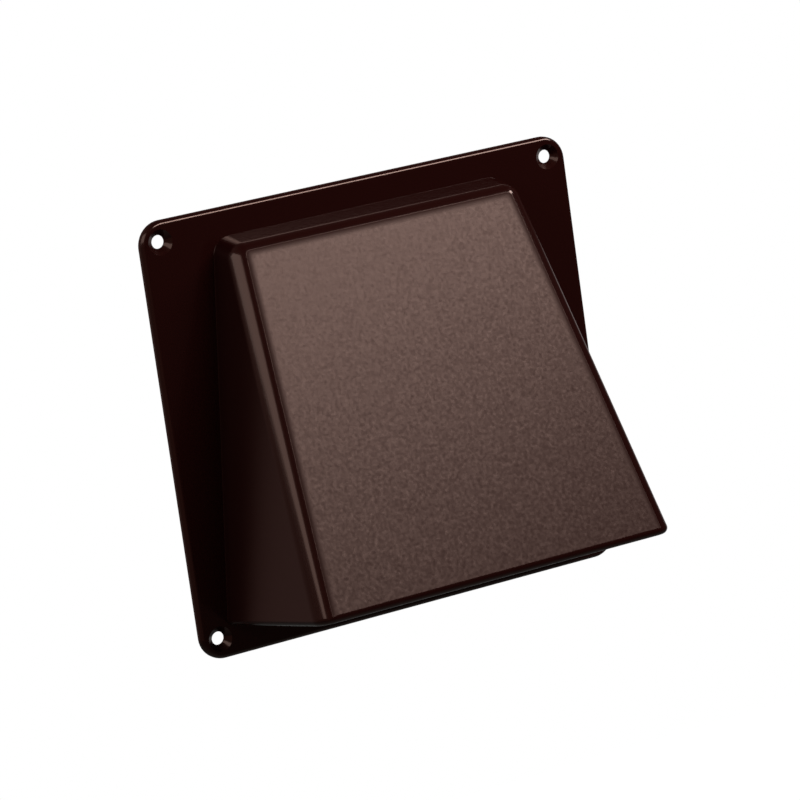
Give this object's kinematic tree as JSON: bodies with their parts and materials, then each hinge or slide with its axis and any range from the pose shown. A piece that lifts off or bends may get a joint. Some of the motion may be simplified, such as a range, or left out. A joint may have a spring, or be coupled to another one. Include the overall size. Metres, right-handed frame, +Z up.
{
  "type": "wall vent hood",
  "caption": "Flared plastic weather hood on a screw-on wall flange, open at the back for a duct and at its downward mouth.",
  "frame": {"origin": "centre of the four screw holes, on the flange's back face", "axes": "+Z up the wall, +Y into the wall, +X to the right seen from the front; the hood stands out towards -Y"},
  "size_m": [0.1844, 0.0762, 0.17],
  "materials": {
    "plastic": "moulded in one colour, dark brown; glossy, with a finely textured front face"
  },
  "bodies": {
    "root": {"vent_hood": "plastic"}
  },
  "joints": []
}
